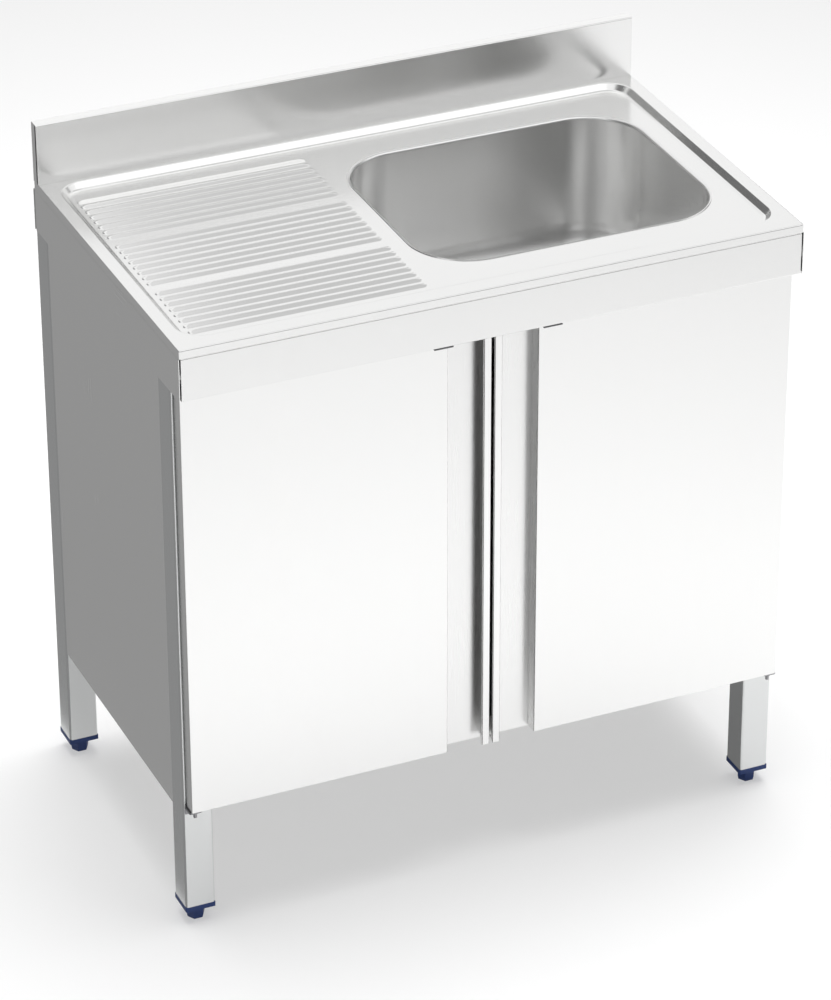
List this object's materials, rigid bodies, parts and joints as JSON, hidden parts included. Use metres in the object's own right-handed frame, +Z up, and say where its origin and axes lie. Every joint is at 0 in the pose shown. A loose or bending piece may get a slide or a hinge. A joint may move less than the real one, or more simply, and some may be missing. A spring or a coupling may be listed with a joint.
{
  "type": "stainless steel sink cabinet",
  "caption": "Free-standing steel sink cabinet: pressed worktop with bowl, ribbed drainer and upstand on a square-tube frame with hinged doors and levelling feet.",
  "frame": {"origin": "on the floor, under the centre of the worktop's outline", "axes": "+X to the right as seen from the front, -Y out of the front, +Z up"},
  "size_m": [0.9, 0.55, 1.004],
  "materials": {
    "brushed_worktop": "fine satin stainless sheet",
    "polished_bowl": "deep-drawn stainless, polished satin",
    "brushed_sheet": "satin stainless sheet",
    "door_sheet": "satin stainless sheet",
    "tube": "satin stainless square tube",
    "small_steel": "satin stainless fittings",
    "catch_steel": "blackened steel",
    "bush_brass": "turned brass",
    "magnet_block": "black magnet housing",
    "navy_plastic": "moulded navy blue plastic",
    "waste_chrome": "polished chrome-plated",
    "waste_rubber": "black rubber"
  },
  "bodies": {
    "cabinet": {"worktop": "brushed_worktop", "upstand": "brushed_worktop", "upstand_end_left": "brushed_sheet", "upstand_end_right": "brushed_sheet", "bowl": "polished_bowl", "fascia_front": "brushed_sheet", "apron_left": "brushed_sheet", "apron_right": "brushed_sheet", "apron_rear": "brushed_sheet", "stiffener_left": "brushed_sheet", "stiffener_right": "brushed_sheet", "leg_front_left": "tube", "leg_front_right": "tube", "leg_rear_left": "tube", "leg_rear_right": "tube", "rail_front": "tube", "rail_rear": "tube", "rail_left": "tube", "rail_right": "tube", "side_panel_left": "brushed_sheet", "side_panel_right": "brushed_sheet", "back_panel": "brushed_sheet", "shelf": "brushed_sheet", "hinge_top_left": "small_steel", "hinge_top_right": "small_steel", "hinge_bottom_left": "small_steel", "hinge_bottom_right": "small_steel", "hinge_pins": "small_steel", "hinge_nuts": "small_steel", "catch_left": "catch_steel", "catch_right": "catch_steel", "catch_magnets": "magnet_block", "catch_screws": "small_steel", "foot_cap_front_left": "navy_plastic", "foot_cap_front_right": "navy_plastic", "foot_cap_rear_left": "navy_plastic", "foot_cap_rear_right": "navy_plastic", "waste_body": "waste_chrome", "waste_gasket": "waste_rubber", "waste_washer": "small_steel", "waste_locknut": "bush_brass", "waste_strainer": "waste_chrome"},
    "door_left": {"door_left_skin": "door_sheet", "door_left_liner": "door_sheet", "door_left_strip": "door_sheet", "door_left_bushes": "bush_brass", "door_left_keeper": "small_steel"},
    "door_right": {"door_right_skin": "door_sheet", "door_right_liner": "door_sheet", "door_right_strip": "door_sheet", "door_right_bushes": "bush_brass", "door_right_keeper": "small_steel"},
    "levelling_foot_front_left": {"foot_front_left": "navy_plastic"},
    "levelling_foot_front_right": {"foot_front_right": "navy_plastic"},
    "levelling_foot_rear_left": {"foot_rear_left": "navy_plastic"},
    "levelling_foot_rear_right": {"foot_rear_right": "navy_plastic"}
  },
  "joints": [
    {"name": "door_left_hinge", "type": "hinge", "parent": "cabinet", "child": "door_left", "pos_m": [-0.4365, -0.2481, 0.5], "axis": [0, 0, -1], "range_deg": [0, 120]},
    {"name": "door_right_hinge", "type": "hinge", "parent": "cabinet", "child": "door_right", "pos_m": [0.4365, -0.2481, 0.5], "axis": [0, 0, 1], "range_deg": [0, 120]},
    {"name": "foot_front_left_screw", "type": "slide", "parent": "cabinet", "child": "levelling_foot_front_left", "axis": [0, 0, -1], "range_m": [0, 0.025]},
    {"name": "foot_front_right_screw", "type": "slide", "parent": "cabinet", "child": "levelling_foot_front_right", "axis": [0, 0, -1], "range_m": [0, 0.025]},
    {"name": "foot_rear_left_screw", "type": "slide", "parent": "cabinet", "child": "levelling_foot_rear_left", "axis": [0, 0, -1], "range_m": [0, 0.025]},
    {"name": "foot_rear_right_screw", "type": "slide", "parent": "cabinet", "child": "levelling_foot_rear_right", "axis": [0, 0, -1], "range_m": [0, 0.025]}
  ]
}
